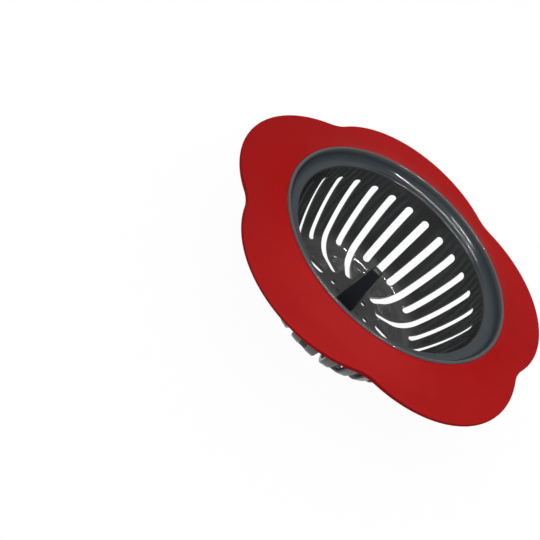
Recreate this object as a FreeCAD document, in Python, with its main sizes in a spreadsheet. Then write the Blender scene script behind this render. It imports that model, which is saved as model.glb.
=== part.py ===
import FreeCAD, Part
import math
import os
import Sketcher
from FreeCAD import Placement, Rotation, Vector

# Sink strainer with a slotted basket, a soft petal rim and a grip post.
# Millimetres. +Z is up as in use, the origin is the centre of the ring that the basket stands on,
# and +X points along the middle of one petal.

SIZES = {
    # Overall
    "overall_height": (33.3, "foot to the top of the lip"),
    "rim_radius": (39.4, "outside of the collar, where the soft rim starts"),
    "petal_reach": (17.6, "outside of the collar to the middle of a petal's edge"),
    # Basket
    "wall": (1.4, "thickness of wall and floor"),
    "floor_rise": (2.1, "how far the middle of the floor stands above the foot"),
    "floor_flat_radius": (11.5, "flat middle of the floor"),
    "foot_inset": (13.1, "outside of the wall under the collar to the outer edge of the ring it stands on"),
    "foot_width": (0.7, "flat width of that ring"),
    "shoulder_radius": (7.7, "round from floor to wall, outside"),
    "wall_bulge_radius": (66.0, "slight barrel curve of the wall, outside"),
    "collar_overhang": (4.2, "outside of the collar to the outside of the wall under it"),
    "wall_root_fillet": (0.8, "round between wall and collar, outside"),
    # Collar
    "collar_height": (5.8, "underside of the collar to the top of the lip"),
    "ledge_depth": (3.2, "top of the lip to the ledge inside the mouth"),
    "lip_width": (0.9, "thickness of the upright lip"),
    "cove_radius": (0.9, "hollow round from lip to ledge"),
    "ledge_round": (1.0, "round on the ledge's inner edge"),
    "lip_round": (0.35, "round on the lip's edges"),
    "tongue_reach": (4.2, "how far the tongue reaches into the soft rim"),
    "tongue_thickness": (1.1, "thickness of the tongue"),
    "tongue_height": (2.1, "underside of the collar to the underside of the tongue"),
    "lock_count": (20, "holes in the tongue"),
    "lock_diameter": (2.2, "hole in the tongue"),
    # Slots and floor holes
    "slot_pairs": (15, "long slots, and as many short ones between them"),
    "slot_width": (2.6, "width of every slot"),
    "slot_turn": (4.0, "degrees from a petal's middle to a long slot"),
    "slot_drop": (2.2, "underside of the collar to the upper end of the slots"),
    "long_slot_radius": (12.4, "axis to the inner end of a long slot"),
    "short_slot_start": (3.7, "outer edge of the foot to the inner end of a short slot"),
    "hole_count": (8, "holes in each ring of the floor"),
    "outer_hole_radius": (8.5, "outer ring of holes"),
    "outer_hole_diameter": (2.1, "holes of the outer ring"),
    "inner_hole_radius": (5.1, "inner ring of holes"),
    "inner_hole_diameter": (1.4, "holes of the inner ring"),
    # Soft rim
    "petal_count": (5, "petals"),
    "petal_arc_radius": (35.2, "round of a petal's edge"),
    "petal_valley_radius": (12.5, "round between two petals"),
    "edge_drop": (3.3, "top of the lip to the top of the rim's edge"),
    "edge_thickness": (0.9, "thickness of the rim's edge"),
    "blend_width": (10.6, "collar to where the rim starts to thicken towards it"),
    "sheet_rise": (0.45, "rise of the rim's top from its edge to there"),
    "sheet_fall": (0.15, "fall of the rim's underside from its edge to there"),
    "root_step": (0.3, "how far the collar stands proud of the soft rim"),
    "bond_gap": (0.03, "bond line between collar and soft rim"),
    # Grip post
    "post_height": (18.5, "floor to the post's tip"),
    "post_turn": (33.0, "degrees from a petal's middle to the post's wide side"),
    "post_base_width": (6.4, "wide side at the floor"),
    "post_base_depth": (5.6, "narrow side at the floor"),
    "post_tip_width": (3.5, "wide side at the tip, and all four sides lean alike"),
    "post_round": (0.8, "round on the post's long edges and tip"),
    "tab_width": (6.0, "tab through the floor, along the wide side"),
    "tab_depth": (0.6, "tab through the floor, across it"),
    "tab_gap": (0.05, "clearance of the tab in its slit"),
}

doc = FreeCAD.newDocument("sink_strainer")
sheet = doc.addObject("Spreadsheet::Sheet", "Sizes")
for row, (alias, (number, note)) in enumerate(SIZES.items(), start=1):
    sheet.set(f"A{row}", alias)
    sheet.set(f"B{row}", str(number))
    sheet.set(f"C{row}", note)
    sheet.setAlias(f"B{row}", alias)
doc.recompute()


class Size:
    """A measure worked out from the sheet: its value now and the expression that keeps it bound."""

    def __init__(self, value, text):
        self.value = value
        self.text = text

    def __add__(self, other):
        return Size(self.value + other.value, f"({self.text} + {other.text})")

    def __sub__(self, other):
        return Size(self.value - other.value, f"({self.text} - {other.text})")

    def __mul__(self, factor):
        return Size(self.value * factor, f"({self.text} * {factor})")

    def __truediv__(self, divisor):
        return Size(self.value / divisor, f"({self.text} / {divisor})")


def size(alias):
    """The sheet's value of that name."""
    return Size(SIZES[alias][0], f"Sizes.{alias}")


class Outline:
    """A sketch on one of its body's own planes, whose points are held by measures from the sheet."""

    START, END, CENTRE = range(1, 4)
    UPRIGHT_AXIS, LEVEL_AXIS = range(-2, 0)
    ORIGIN = (LEVEL_AXIS, START)

    def __init__(self, body, plane, name, turn=None, lift=None):
        """The sketch may be turned about Z, and one on the ground plane may be lifted."""
        self.sketch = body.newObject("Sketcher::SketchObject", name)
        support = [part for part in body.Origin.OriginFeatures if part.Role == plane][0]
        self.sketch.AttachmentSupport = (support, [""])
        self.sketch.MapMode = "FlatFace"
        upright = Vector(0, 0, 1) if plane == "XY_Plane" else Vector(0, 1, 0)
        rise = Vector(0, 0, lift.value if lift else 0)
        self.sketch.AttachmentOffset = Placement(rise, Rotation(upright, turn.value if turn else 0))
        if turn:
            self.sketch.setExpression("AttachmentOffset.Rotation.Angle", turn.text)
        if lift:
            self.sketch.setExpression("AttachmentOffset.Base.z", lift.text)

    def rule(self, kind, *places):
        """Adds one constraint and gives its number."""
        return self.sketch.addConstraint(Sketcher.Constraint(kind, *places))

    def bind(self, number, measure):
        self.sketch.setExpression(f"Constraints[{number}]", measure.text)

    def line(self, start, end):
        return self.sketch.addGeometry(Part.LineSegment(Vector(*start, 0), Vector(*end, 0)), False)

    def arc(self, centre, radius, first_degrees, last_degrees):
        """An arc that runs counter-clockwise between the two angles."""
        circle = Part.Circle(Vector(*centre, 0), Vector(0, 0, 1), radius)
        ends = math.radians(first_degrees), math.radians(last_degrees)
        return self.sketch.addGeometry(Part.ArcOfCircle(circle, *ends), False)

    def meet(self, first, first_end, second, second_end):
        self.rule("Coincident", first, first_end, second, second_end)

    def flow(self, first, first_end, second, second_end):
        """The two curves meet there in one smooth line."""
        self.rule("Tangent", first, first_end, second, second_end)

    def share_centre(self, first, second):
        self.rule("Coincident", first, self.CENTRE, second, self.CENTRE)

    def level(self, *lines):
        for line in lines:
            self.rule("Horizontal", line)

    def upright(self, *lines):
        for line in lines:
            self.rule("Vertical", line)

    def on_axis(self, curve, end):
        self.rule("PointOnObject", curve, end, self.UPRIGHT_AXIS)

    def across(self, curve, end, measure):
        """Holds a point at that distance to the right of the origin."""
        self.bind(self.rule("DistanceX", *self.ORIGIN, curve, end, measure.value), measure)

    def up(self, curve, end, measure):
        """Holds a point at that height above the origin."""
        self.bind(self.rule("DistanceY", *self.ORIGIN, curve, end, measure.value), measure)

    def radius(self, curve, measure):
        self.bind(self.rule("Radius", curve, measure.value), measure)

    def loop(self, points):
        """A closed outline of straight lines, each corner held by its two measures."""
        corners = [(x.value, y.value) for x, y in points]
        sides = [self.line(a, b) for a, b in zip(corners, corners[1:] + corners[:1])]
        for side, following in zip(sides, sides[1:] + sides[:1]):
            self.meet(side, self.END, following, self.START)
        for side, (x, y) in zip(sides, points):
            self.across(side, self.START, x)
            self.up(side, self.START, y)

    def box(self, width, depth):
        """A rectangle about the origin."""
        right, back = width / 2, depth / 2
        left, front = right * -1, back * -1
        self.loop([(left, front), (right, front), (right, back), (left, back)])

    def circle(self, diameter, x=None, y=None):
        """A circle on the right-hand axis, on the upright axis or at the origin."""
        centre = (x.value if x else 0.0, y.value if y else 0.0)
        outline = Part.Circle(Vector(*centre, 0), Vector(0, 0, 1), diameter.value / 2)
        ring = self.sketch.addGeometry(outline, False)
        self.bind(self.rule("Diameter", ring, diameter.value), diameter)
        if x:
            self.rule("PointOnObject", ring, self.CENTRE, self.LEVEL_AXIS)
            self.across(ring, self.CENTRE, x)
        elif y:
            self.on_axis(ring, self.CENTRE)
            self.up(ring, self.CENTRE, y)
        else:
            self.rule("Coincident", ring, self.CENTRE, *self.ORIGIN)


def new_body(label):
    body = doc.addObject("PartDesign::Body", label)
    body.Label = label
    return body


def turned_solid(body, kind, outline, name):
    """A full turn of the outline about Z: PartDesign::Revolution adds it, PartDesign::Groove cuts it."""
    feature = body.newObject(kind, name)
    feature.Profile = outline.sketch
    feature.ReferenceAxis = (outline.sketch, ["V_Axis"])
    feature.Angle = 360
    doc.recompute()
    return feature


def cut_through(body, outline, name, reverse):
    """Cuts the outline through everything on one side of its plane."""
    feature = body.newObject("PartDesign::Pocket", name)
    feature.Profile = outline.sketch
    feature.Type = "ThroughAll"
    feature.Reversed = reverse
    doc.recompute()
    return feature


def cut_slab(body, outline, name, thickness):
    """Cuts the outline as a slab of that thickness, half on each side of its plane."""
    feature = body.newObject("PartDesign::Pocket", name)
    feature.Profile = outline.sketch
    feature.SideType = "Symmetric"
    feature.Type = "Length"
    feature.setExpression("Length", thickness.text)
    doc.recompute()
    return feature


def pad(body, outline, name, length, reverse=False):
    feature = body.newObject("PartDesign::Pad", name)
    feature.Profile = outline.sketch
    feature.Reversed = reverse
    feature.setExpression("Length", length.text)
    doc.recompute()
    return feature


def ring_of(body, features, count, name):
    """Repeats the features evenly round Z."""
    pattern = body.newObject("PartDesign::PolarPattern", name)
    pattern.Originals = features
    axis = [part for part in body.Origin.OriginFeatures if part.Role == "Z_Axis"][0]
    pattern.Axis = (axis, [""])
    pattern.Angle = 360
    pattern.setExpression("Occurrences", count.text)
    body.Tip = pattern
    doc.recompute()
    return pattern


def round_edges(body, name, radius, wanted):
    """Rounds the edges of the body's last feature for which wanted(edge) is true."""
    base = body.Tip
    edges = [f"Edge{number}" for number, edge in enumerate(base.Shape.Edges, start=1) if wanted(edge)]
    if not edges:
        raise RuntimeError(f"{name}: no edge to round")
    feature = body.newObject("PartDesign::Fillet", name)
    feature.Base = (base, edges)
    feature.setExpression("Radius", radius.text)
    doc.recompute()
    return feature


def near(first, second):
    return abs(first - second) < 1e-4


def ring_at(edge, height):
    """True for a ring about Z at that height."""
    return isinstance(edge.Curve, Part.Circle) and near(edge.Curve.Center.z, height)


def full_circle_at(edge, radius, height):
    """True for a ring about Z of that radius at that height."""
    return ring_at(edge, height) and near(edge.Curve.Radius, radius)


# Levels and places that several pieces share
collar_under = size("overall_height") - size("collar_height")
ledge_level = size("overall_height") - size("ledge_depth")
lip_inside = size("rim_radius") - size("lip_width")
tongue_under = collar_under + size("tongue_height")
tongue_top = tongue_under + size("tongue_thickness")
tongue_tip = size("rim_radius") + size("tongue_reach")
lock_place = size("rim_radius") + size("tongue_reach") / 2
floor_top = size("floor_rise") + size("wall")
wall_top = size("rim_radius") - size("collar_overhang")
foot_outer = wall_top - size("foot_inset")
foot_inner = foot_outer - size("foot_width")
petal_tip = size("rim_radius") + size("petal_reach")
slot_top = collar_under - size("slot_drop")
long_slot_turn = size("slot_turn")
short_slot_turn = Size(
    size("slot_turn").value + 180 / SIZES["slot_pairs"][0],
    "(Sizes.slot_turn + 180 / Sizes.slot_pairs)",
)


def wall_centre(shoulder, shoulder_radius, bulge_radius, top):
    """Centre of the wall's arc, which passes through its top and runs on smoothly from the shoulder's arc."""
    span = math.dist(shoulder, top)
    near_side = bulge_radius - shoulder_radius
    along = (near_side**2 - bulge_radius**2 + span**2) / (2 * span)
    aside = math.sqrt(near_side**2 - along**2)
    ux, uz = (top[0] - shoulder[0]) / span, (top[1] - shoulder[1]) / span
    return shoulder[0] + along * ux - aside * uz, shoulder[1] + along * uz + aside * ux


def basket_profile(body):
    """Half section of the basket: dished floor, foot, shoulder, wall, collar with tongue, lip and ledge."""
    draw = Outline(body, "XZ_Plane", "basket_section")
    start, end = Outline.START, Outline.END
    wall = size("wall").value
    rise, flat = size("floor_rise"), size("floor_flat_radius")
    foot_in, foot_out = foot_inner, foot_outer
    shoulder_r, bulge_r = size("shoulder_radius"), size("wall_bulge_radius")

    # Where the curves start out, worked out from the same sizes that then hold them
    dish_run = foot_in.value - flat.value
    dish_r = (dish_run**2 + rise.value**2) / (4 * rise.value)
    dish_angle = math.degrees(math.asin(dish_run / (2 * dish_r)))
    high, low = (flat.value, rise.value - dish_r), (foot_in.value, dish_r)
    shoulder = (foot_out.value, shoulder_r.value)
    bulge = wall_centre(shoulder, shoulder_r.value, bulge_r.value, (wall_top.value, collar_under.value))
    join_angle = math.degrees(math.atan2(shoulder[1] - bulge[1], shoulder[0] - bulge[0]))
    top_angle = math.degrees(math.atan2(collar_under.value - bulge[1], wall_top.value - bulge[0]))
    ledge_angle = math.degrees(math.asin((ledge_level.value - bulge[1]) / (bulge_r.value - wall)))
    ledge_end = bulge[0] + (bulge_r.value - wall) * math.cos(math.radians(ledge_angle))
    cove = size("cove_radius")
    cove_x = lip_inside - cove

    # Outside, from the axis outwards and up
    floor_under = draw.line((0, rise.value), (flat.value, rise.value))
    dish_high = draw.arc(high, dish_r, 90 - dish_angle, 90)
    dish_low = draw.arc(low, dish_r, 270 - dish_angle, 270)
    foot = draw.line((foot_in.value, 0), (foot_out.value, 0))
    round_out = draw.arc(shoulder, shoulder_r.value, 270, 360 + join_angle)
    wall_out = draw.arc(bulge, bulge_r.value, join_angle, top_angle)
    # Collar, tongue and lip
    corners = [
        (wall_top, collar_under),
        (size("rim_radius"), collar_under),
        (size("rim_radius"), tongue_under),
        (tongue_tip, tongue_under),
        (tongue_tip, tongue_top),
        (size("rim_radius"), tongue_top),
        (size("rim_radius"), size("overall_height")),
        (lip_inside, size("overall_height")),
        (lip_inside, ledge_level + cove),
    ]
    places = [(x.value, z.value) for x, z in corners]
    collar = [draw.line(a, b) for a, b in zip(places, places[1:])]
    hollow = draw.arc((cove_x.value, (ledge_level + cove).value), cove.value, 270, 360)
    ledge = draw.line((cove_x.value, ledge_level.value), (ledge_end, ledge_level.value))
    # Inside, from the ledge down and back to the axis
    wall_in = draw.arc(bulge, bulge_r.value - wall, join_angle, ledge_angle)
    round_in = draw.arc(shoulder, shoulder_r.value - wall, 270, 360 + join_angle)
    foot_top = draw.line((foot_in.value, wall), (foot_out.value, wall))
    dish_low_in = draw.arc(low, dish_r - wall, 270 - dish_angle, 270)
    dish_high_in = draw.arc(high, dish_r + wall, 90 - dish_angle, 90)
    floor_in = draw.line((0, floor_top.value), (flat.value, floor_top.value))
    axis = draw.line((0, rise.value), (0, floor_top.value))

    draw.level(floor_under, foot, foot_top, floor_in, ledge)
    draw.flow(floor_under, end, dish_high, end)
    draw.flow(dish_high, start, dish_low, start)
    draw.flow(dish_low, end, foot, start)
    draw.flow(foot, end, round_out, start)
    draw.flow(round_out, end, wall_out, start)
    draw.meet(wall_out, end, collar[0], start)
    for side, following in zip(collar, collar[1:]):
        draw.meet(side, end, following, start)
    draw.flow(collar[-1], end, hollow, end)
    draw.flow(hollow, start, ledge, start)
    draw.meet(ledge, end, wall_in, end)
    draw.flow(wall_in, start, round_in, end)
    draw.flow(round_in, start, foot_top, end)
    draw.flow(foot_top, start, dish_low_in, end)
    draw.flow(dish_low_in, start, dish_high_in, start)
    draw.flow(dish_high_in, end, floor_in, end)
    draw.meet(floor_in, start, axis, end)
    draw.meet(axis, start, floor_under, start)

    draw.share_centre(dish_high, dish_high_in)
    draw.share_centre(dish_low, dish_low_in)
    draw.share_centre(round_out, round_in)
    draw.share_centre(wall_out, wall_in)
    draw.rule("Equal", dish_high, dish_low)
    draw.on_axis(floor_under, start)
    draw.on_axis(floor_in, start)
    draw.up(floor_under, start, rise)
    draw.across(floor_under, end, flat)
    draw.rule("PointOnObject", foot, start, Outline.LEVEL_AXIS)
    draw.across(foot, start, foot_in)
    draw.across(foot, end, foot_out)
    draw.radius(round_out, shoulder_r)
    draw.radius(wall_out, bulge_r)
    draw.up(foot_top, start, size("wall"))
    draw.up(ledge, start, ledge_level)
    for side, (x, z) in zip(collar, corners):
        draw.across(side, start, x)
        draw.up(side, start, z)
    draw.upright(collar[-1])
    draw.radius(hollow, cove)
    return draw


def slot_plan(body, end_place, turn, name):
    """A slot seen from above: straight sides from a round inner end out past the wall."""
    draw = Outline(body, "XY_Plane", f"{name}_plan", turn)
    start, end = Outline.START, Outline.END
    half = size("slot_width") / 2
    reach = size("rim_radius") + size("tongue_reach")
    round_end = draw.arc((end_place.value, 0), half.value, 90, 270)
    near_side = draw.line((end_place.value, -half.value), (reach.value, -half.value))
    outer_end = draw.line((reach.value, -half.value), (reach.value, half.value))
    far_side = draw.line((reach.value, half.value), (end_place.value, half.value))
    draw.flow(round_end, end, near_side, start)
    draw.meet(near_side, end, outer_end, start)
    draw.meet(outer_end, end, far_side, start)
    draw.flow(far_side, end, round_end, start)
    draw.level(near_side)
    draw.upright(outer_end)
    draw.rule("PointOnObject", round_end, Outline.CENTRE, Outline.LEVEL_AXIS)
    draw.across(round_end, Outline.CENTRE, end_place)
    draw.across(outer_end, start, reach)
    draw.radius(round_end, half)
    return draw


def cut_slots(body, inner_radius, turn, name):
    """One kind of slot: upright sides through floor, shoulder and wall, and a round end under the collar."""
    width = size("slot_width")
    end_level = slot_top - width / 2
    plan = slot_plan(body, inner_radius + width / 2, turn, name)
    slab = cut_slab(body, plan, f"{name}_slab", end_level * 2)
    top_round = Outline(body, "YZ_Plane", f"{name}_top_round", turn)
    top_round.circle(width, y=end_level)
    top_end = cut_through(body, top_round, f"{name}_top_end", reverse=True)
    ring_of(body, [slab, top_end], size("slot_pairs"), f"{name}_ring")


def drill_ring(body, place, diameter, count, name):
    """A ring of round holes straight through the body, the first in line with a long slot."""
    spot = Outline(body, "XY_Plane", f"{name}_spot", long_slot_turn)
    spot.circle(diameter, x=place)
    hole = cut_through(body, spot, name, reverse=True)
    ring_of(body, [hole], count, f"{name}_ring")


def make_basket():
    body = new_body("basket")
    turned_solid(body, "PartDesign::Revolution", basket_profile(body), "basket_turn")
    wall_root = wall_top.value, collar_under.value
    round_edges(body, "wall_root", size("wall_root_fillet"), lambda edge: full_circle_at(edge, *wall_root))
    lip_top = size("overall_height").value
    lip_rings = (size("rim_radius").value, lip_inside.value)
    round_edges(
        body, "lip_edges", size("lip_round"),
        lambda edge: any(full_circle_at(edge, ring, lip_top) for ring in lip_rings),
    )
    round_edges(
        body, "ledge_edge", size("ledge_round"),
        lambda edge: ring_at(edge, ledge_level.value) and edge.Curve.Radius < wall_top.value,
    )
    cut_slots(body, size("long_slot_radius"), long_slot_turn, "long_slot")
    cut_slots(body, foot_outer + size("short_slot_start"), short_slot_turn, "short_slot")
    holes = size("hole_count")
    drill_ring(body, size("outer_hole_radius"), size("outer_hole_diameter"), holes, "outer_hole")
    drill_ring(body, size("inner_hole_radius"), size("inner_hole_diameter"), holes, "inner_hole")
    drill_ring(body, lock_place, size("lock_diameter"), size("lock_count"), "lock_hole")
    slit = Outline(body, "XY_Plane", "tab_slit_outline", size("post_turn"))
    slit.box(size("tab_width") + size("tab_gap") * 2, size("tab_depth") + size("tab_gap") * 2)
    cut_through(body, slit, "tab_slit", reverse=True)
    return body


def rim_face(body, name, edge_level, sheet_level, root_level, clear_level):
    """Cuts the rim's top or underside: a nearly flat sheet that curves into the thick root at the collar."""
    draw = Outline(body, "XZ_Plane", f"{name}_section")
    start, end = Outline.START, Outline.END
    tip, root = petal_tip, size("rim_radius")
    blend = root + size("blend_width")
    edge = (tip.value, edge_level.value)
    joint = (blend.value, sheet_level.value)
    foot = (root.value, root_level.value)
    # Circle through the root that leaves the sheet's line smoothly
    slope = math.atan2(joint[1] - edge[1], joint[0] - edge[0])
    side = 1 if root_level.value > sheet_level.value else -1
    normal = (-math.sin(slope) * -side, math.cos(slope) * -side)
    chord = (foot[0] - joint[0], foot[1] - joint[1])
    bend = (chord[0]**2 + chord[1]**2) / (2 * (chord[0] * normal[0] + chord[1] * normal[1]))
    centre = (joint[0] + bend * normal[0], joint[1] + bend * normal[1])
    angles = [math.degrees(math.atan2(p[1] - centre[1], p[0] - centre[0])) % 360 for p in (foot, joint)]
    if side < 0:
        angles.reverse()
    sheet_line = draw.line(edge, joint)
    curve = draw.arc(centre, abs(bend), *angles)
    joint_end, root_end = (end, start) if side > 0 else (start, end)
    corners = [(root, root_level), (root, clear_level), (tip, clear_level), (tip, edge_level)]
    places = [(x.value, z.value) for x, z in corners]
    sides = [draw.line(a, b) for a, b in zip(places, places[1:])]
    draw.flow(sheet_line, end, curve, joint_end)
    draw.meet(curve, root_end, sides[0], start)
    draw.meet(sides[0], end, sides[1], start)
    draw.meet(sides[1], end, sides[2], start)
    draw.meet(sides[2], end, sheet_line, start)
    for line, (x, z) in zip(sides, corners):
        draw.across(line, start, x)
        draw.up(line, start, z)
    draw.up(sheet_line, start, edge_level)
    draw.across(sheet_line, start, tip)
    draw.across(sheet_line, end, blend)
    draw.up(sheet_line, end, sheet_level)
    turned_solid(body, "PartDesign::Groove", draw, name)


def make_petal_flange():
    body = new_body("petal_flange")
    top, gap = size("overall_height"), size("bond_gap")
    edge_top = top - size("edge_drop")
    edge_under = edge_top - size("edge_thickness")
    root_top = top - size("root_step")
    root_under = collar_under + size("root_step")

    petal = Outline(body, "XY_Plane", "petal_outline")
    petal.circle(size("petal_arc_radius") * 2, x=petal_tip - size("petal_arc_radius"))
    disc = pad(body, petal, "petal", top)
    ring_of(body, [disc], size("petal_count"), "petals")
    round_edges(
        body, "petal_valleys", size("petal_valley_radius"),
        lambda edge: isinstance(edge.Curve, Part.Line) and near(edge.Length, top.value),
    )
    rim_face(body, "top_face", edge_top, edge_top + size("sheet_rise"), root_top, top * 2)
    rim_face(body, "under_face", edge_under, edge_under - size("sheet_fall"), root_under, top * -1)

    bore = Outline(body, "XY_Plane", "collar_bore_outline")
    bore.circle((size("rim_radius") + gap) * 2)
    cut_through(body, bore, "collar_bore", reverse=True)
    groove = Outline(body, "XZ_Plane", "tongue_groove_section")
    groove_tip, groove_top = tongue_tip + gap, tongue_top + gap
    groove.loop([
        (size("rim_radius"), tongue_under), (groove_tip, tongue_under),
        (groove_tip, groove_top), (size("rim_radius"), groove_top),
    ])
    turned_solid(body, "PartDesign::Groove", groove, "tongue_groove")
    spot = Outline(body, "XY_Plane", "lock_peg_outline", long_slot_turn, tongue_under)
    spot.circle(size("lock_diameter") - gap * 2, x=lock_place)
    peg = pad(body, spot, "lock_peg", size("tongue_thickness") + gap)
    ring_of(body, [peg], size("lock_count"), "lock_pegs")
    return body


def make_grip_post():
    """A post that narrows to its tip, and the flat tab that holds it in the floor."""
    body = new_body("grip_post")
    turn = size("post_turn")
    base = Outline(body, "XY_Plane", "post_base", turn, floor_top)
    base.box(size("post_base_width"), size("post_base_depth"))
    tip_level = floor_top + size("post_height")
    post = pad(body, base, "post", size("post_height"))
    lean = (size("post_tip_width") - size("post_base_width")) / 2
    post.setExpression("TaperAngle", f"atan({lean.text} / {size('post_height').text})")
    doc.recompute()
    round_edges(
        body, "post_rounds", size("post_round"),
        lambda edge: any(near(end.Z, tip_level.value) for end in edge.Vertexes),
    )
    tab = Outline(body, "XY_Plane", "tab_outline", turn, floor_top)
    tab.box(size("tab_width"), size("tab_depth"))
    pad(body, tab, "tab", size("wall"), reverse=True)
    return body


def check_and_write(bodies):
    """Stops on a failed object or a bad solid, and otherwise writes each sub-part."""
    failed = [part.Name for part in doc.Objects if {"Invalid", "Error"} & set(part.State)]
    if failed:
        raise RuntimeError(f"failed objects: {failed}")
    for body in bodies:
        if body.Shape.isNull() or not body.Shape.isValid() or len(body.Shape.Solids) != 1:
            raise RuntimeError(f"{body.Label}: not one good solid")
    os.makedirs("parts", exist_ok=True)
    for body in bodies:
        body.Shape.exportStep(f"parts/{body.Label}.step")
        box = body.Shape.BoundBox
        print(body.Label, "solids", len(body.Shape.Solids), "volume", round(body.Shape.Volume, 2),
              "box", [round(v, 2) for v in (box.XMin, box.YMin, box.ZMin, box.XMax, box.YMax, box.ZMax)])


check_and_write([make_basket(), make_petal_flange(), make_grip_post()])
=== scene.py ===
"""Sink strainer with a slotted basket, a soft petal rim and a grip post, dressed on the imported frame.

Metres, +Z up as in use, and the origin is the centre of the ring that the basket stands on.
"""

import math

import bmesh
import bpy
import numpy as np
from bpy.props import FloatProperty, FloatVectorProperty, IntProperty, PointerProperty
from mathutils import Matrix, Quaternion, Vector


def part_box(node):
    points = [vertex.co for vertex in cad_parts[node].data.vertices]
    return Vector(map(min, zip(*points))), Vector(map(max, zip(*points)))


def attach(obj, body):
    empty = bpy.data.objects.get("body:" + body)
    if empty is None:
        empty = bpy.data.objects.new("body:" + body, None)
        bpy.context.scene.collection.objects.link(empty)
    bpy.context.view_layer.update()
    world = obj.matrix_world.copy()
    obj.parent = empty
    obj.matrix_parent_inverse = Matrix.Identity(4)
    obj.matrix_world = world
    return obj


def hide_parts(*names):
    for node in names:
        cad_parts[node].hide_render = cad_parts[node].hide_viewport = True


bl_info = {
    "name": "Sink strainer",
    "version": (1, 0, 0),
    "blender": (4, 5, 0),
    "location": "3D View > Sidebar > Strainer",
    "description": "Builds a slotted sink strainer with a soft petal rim on its packed frame",
    "category": "Add Mesh",
}

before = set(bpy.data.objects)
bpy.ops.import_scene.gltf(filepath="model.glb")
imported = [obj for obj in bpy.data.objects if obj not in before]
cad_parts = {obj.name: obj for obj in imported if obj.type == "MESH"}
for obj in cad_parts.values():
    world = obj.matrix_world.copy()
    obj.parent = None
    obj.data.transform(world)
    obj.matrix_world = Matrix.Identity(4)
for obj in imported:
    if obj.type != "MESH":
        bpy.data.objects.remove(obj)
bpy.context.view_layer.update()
BASKET_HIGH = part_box("basket")[1]
RIM_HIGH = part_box("petal_flange")[1]
POST_LOW, POST_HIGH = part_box("grip_post")

MM = 0.001
BODY = "root"

# Attribute of the rim's mesh that its material reads to paint shade on the edge: distance from the outline,
# in edge rounds
EDGE = "edge"

# Circles in the floor's flat middle where the nets round its holes and its slit meet
HOLES_BORDER = 6.9 * MM
SLIT_BORDER = 3.4 * MM

# Place of the net's upper border below the collar, as a share of the round between wall and collar
NET_TOP = 0.9


# Kinds of settings, which a user may change in the panel


def length(name, description, metres):
    """A length in metres."""
    return FloatProperty(name=name, description=description, default=metres, unit="LENGTH", precision=5)


def mm(name, description, millimetres):
    """A length in millimetres."""
    return length(name, description, millimetres * MM)


def degrees(name, description, angle):
    """An angle in degrees."""
    return FloatProperty(name=name, description=description, default=math.radians(angle), subtype="ANGLE")


def colour(name, description, *linear):
    """A linear colour."""
    return FloatVectorProperty(
        name=name, description=description, subtype="COLOR", min=0, max=1, default=linear
    )


def number(name, description, count):
    """A count of at least three."""
    return IntProperty(name=name, description=description, default=count, min=3)


def light_level(name, description, amount):
    """A strength of light, where 1 is white."""
    return FloatProperty(name=name, description=description, default=amount, min=0)


def point(name, description, *metres):
    """A place in metres."""
    return FloatVectorProperty(name=name, description=description, subtype="TRANSLATION", default=metres)


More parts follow.
